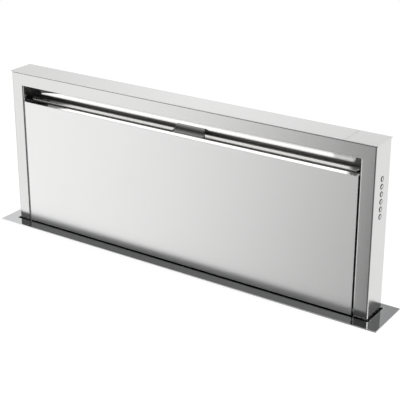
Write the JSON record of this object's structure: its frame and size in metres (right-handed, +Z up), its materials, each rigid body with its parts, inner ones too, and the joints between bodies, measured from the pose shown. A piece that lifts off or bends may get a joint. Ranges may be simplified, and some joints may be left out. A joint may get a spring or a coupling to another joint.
{
  "type": "downdraft vent",
  "caption": "Retractable worktop downdraft vent: a stainless tower with an intake slot, lamps, filters and access panel rises from a deck plate above its housing and blower.",
  "frame": {"origin": "middle of the tower's footprint, in the plane of the worktop's upper face", "axes": "+Z up, +X to the right seen from the front, front face towards -Y"},
  "size_m": [0.88, 0.2924, 0.991],
  "materials": {
    "satin_steel": "fine satin brushed stainless steel",
    "polished_steel": "mirror polished stainless steel",
    "galvanised_steel": "galvanised sheet with a faint spangle",
    "machined_steel": "plain zinc plated or turned steel",
    "aluminium": "natural anodised",
    "brass": "turned",
    "lamp_lens": "white prismatic diffuser, lit from inside",
    "black_plastic": "moulded, fine texture",
    "grey_plastic": "grey stove enamel",
    "white_plastic": "acetal",
    "circuit_board": "solder mask",
    "seal_foam": "closed-cell foam"
  },
  "bodies": {
    "housing": {"deck_flange": "polished_steel", "deck_seal": "seal_foam", "housing_front": "galvanised_steel", "housing_back": "galvanised_steel", "housing_left": "galvanised_steel", "housing_right": "galvanised_steel", "housing_bottom": "galvanised_steel", "guide_rail_left": "machined_steel", "guide_rail_right": "machined_steel", "support_leg_left": "machined_steel", "support_leg_right": "machined_steel", "limit_switch_upper": "black_plastic", "limit_switch_lower": "black_plastic", "actuator_foot": "machined_steel", "actuator_gearbox": "grey_plastic", "lift_motor": "black_plastic", "actuator_tube": "aluminium", "rod_bush": "white_plastic", "inlet_plate": "galvanised_steel", "volute_casing": "galvanised_steel", "blower_motor": "grey_plastic", "duct_collar": "galvanised_steel", "control_box": "grey_plastic", "control_box_lid": "grey_plastic", "cable_gland": "black_plastic"},
    "tower": {"front_frame": "satin_steel", "back_panel": "satin_steel", "top_plate": "machined_steel", "top_cap": "satin_steel", "control_end_cap": "satin_steel", "lamp_housing_left": "aluminium", "lamp_housing_right": "aluminium", "lamp_lens_left": "lamp_lens", "lamp_lens_right": "lamp_lens", "filter_left": "aluminium", "filter_right": "aluminium", "filter_rail": "galvanised_steel", "centre_post": "machined_steel", "actuator_rod": "machined_steel", "drive_nut": "brass", "lift_bracket": "machined_steel", "rod_pin": "machined_steel", "guide_shoe_left": "white_plastic", "guide_shoe_right": "white_plastic", "control_board": "circuit_board", "panel_pin_left": "machined_steel", "panel_pin_right": "machined_steel", "panel_catch_left": "black_plastic", "panel_catch_right": "black_plastic"},
    "front_panel": {"front_panel": "satin_steel"},
    "lift_screw": {"lift_screw": "machined_steel"},
    "blower": {"blower_wheel": "black_plastic", "blower_shaft": "machined_steel"},
    "damper": {"damper_flap": "aluminium"},
    "button_1": {"button_1": "machined_steel"},
    "button_2": {"button_2": "machined_steel"},
    "button_3": {"button_3": "machined_steel"},
    "button_4": {"button_4": "machined_steel"},
    "button_5": {"button_5": "machined_steel"},
    "button_6": {"button_6": "machined_steel"}
  },
  "joints": [
    {"name": "tower_lift", "type": "slide", "parent": "housing", "child": "tower", "axis": [0, 0, 1], "range_m": [-0.328, 0]},
    {"name": "panel_hinge", "type": "hinge", "parent": "tower", "child": "front_panel", "pos_m": [0, -0.022, 0.012], "axis": [1, 0, 0], "range_deg": [0, 30]},
    {"name": "screw_spin", "type": "hinge", "parent": "housing", "child": "lift_screw", "pos_m": [0, 0.01, -0.34], "axis": [0, 0, 1], "range_deg": [0, 5905]},
    {"name": "blower_spin", "type": "hinge", "parent": "housing", "child": "blower", "pos_m": [-0.06, -0.1072, -0.44], "axis": [0, 1, 0], "continuous": true},
    {"name": "damper_swing", "type": "hinge", "parent": "housing", "child": "damper", "pos_m": [-0.2952, -0.1152, -0.52072], "axis": [0, 1, 0], "range_deg": [0, 80]},
    {"name": "button_1_press", "type": "slide", "parent": "tower", "child": "button_1", "axis": [-1, 0, 0], "range_m": [0, 0.0015], "stiffness_N_per_m": 500, "springref_m": -0.001},
    {"name": "button_2_press", "type": "slide", "parent": "tower", "child": "button_2", "axis": [-1, 0, 0], "range_m": [0, 0.0015], "stiffness_N_per_m": 500, "springref_m": -0.001},
    {"name": "button_3_press", "type": "slide", "parent": "tower", "child": "button_3", "axis": [-1, 0, 0], "range_m": [0, 0.0015], "stiffness_N_per_m": 500, "springref_m": -0.001},
    {"name": "button_4_press", "type": "slide", "parent": "tower", "child": "button_4", "axis": [-1, 0, 0], "range_m": [0, 0.0015], "stiffness_N_per_m": 500, "springref_m": -0.001},
    {"name": "button_5_press", "type": "slide", "parent": "tower", "child": "button_5", "axis": [-1, 0, 0], "range_m": [0, 0.0015], "stiffness_N_per_m": 500, "springref_m": -0.001},
    {"name": "button_6_press", "type": "slide", "parent": "tower", "child": "button_6", "axis": [-1, 0, 0], "range_m": [0, 0.0015], "stiffness_N_per_m": 500, "springref_m": -0.001}
  ],
  "couplings": [
    {"joint": "screw_spin", "follows": "tower_lift", "rad_per_m": -314.16}
  ]
}
